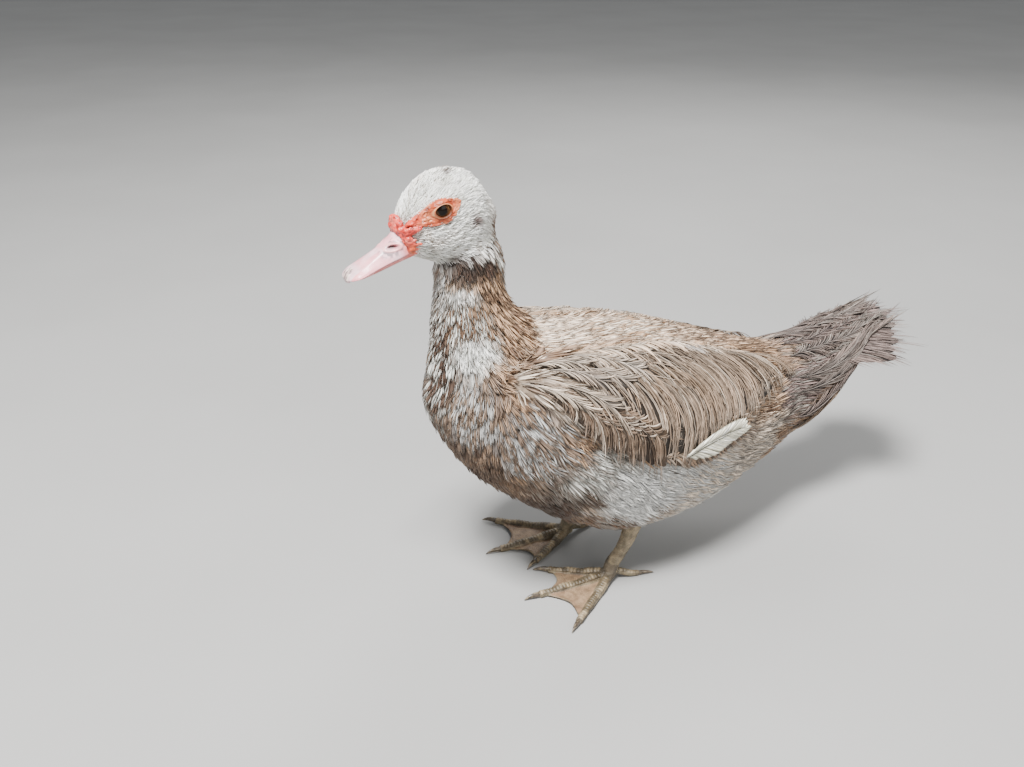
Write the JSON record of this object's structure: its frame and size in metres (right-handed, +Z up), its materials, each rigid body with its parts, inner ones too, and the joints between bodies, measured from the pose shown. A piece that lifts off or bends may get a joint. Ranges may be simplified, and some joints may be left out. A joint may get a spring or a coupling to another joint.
{
  "type": "muscovy duck",
  "caption": "Life-size still model of a standing muscovy duck hen, head raised, wings folded, tail held level, feet webbed and flat on the ground.",
  "frame": {"origin": "on the ground under the middle of the bird's bounding box", "axes": "+Z up; the bird faces -Y, so +Y runs from her bill to her tail; +X is her left side"},
  "size_m": [0.1736, 0.5102, 0.3457],
  "materials": {
    "body_plumage": "matte mottled brown and grey-beige plumage",
    "neck_plumage": "matte buff and white streaked plumage",
    "head_plumage": "matte white plumage",
    "wing_feathers": "tan and buff overlapping feathers",
    "tail_feathers": "mauve-grey frayed feathers",
    "face_skin": "bare orange-red skin, slightly moist",
    "caruncle_skin": "bare red knobbly skin",
    "bill": "smooth pink horn with a pale nail",
    "eye": "glossy dark brown",
    "leg_skin": "olive-yellow scaly skin",
    "claw": "dark horn"
  },
  "bodies": {
    "root": {"neck_upper": "neck_plumage", "neck_lower": "neck_plumage", "torso": "body_plumage", "head": "head_plumage", "wing_left": "wing_feathers", "wing_right": "wing_feathers", "tail": "tail_feathers", "face_skin_left": "face_skin", "face_skin_right": "face_skin", "caruncle": "caruncle_skin", "eye_left": "eye", "eye_right": "eye", "upper_bill": "bill", "lower_bill": "bill", "shank_left": "leg_skin", "foot_left": "leg_skin", "hind_toe_left": "leg_skin", "claw_left_inner": "claw", "claw_left_middle": "claw", "claw_left_outer": "claw", "claw_left_hind": "claw", "shank_right": "leg_skin", "foot_right": "leg_skin", "hind_toe_right": "leg_skin", "claw_right_inner": "claw", "claw_right_middle": "claw", "claw_right_outer": "claw", "claw_right_hind": "claw"}
  },
  "joints": []
}
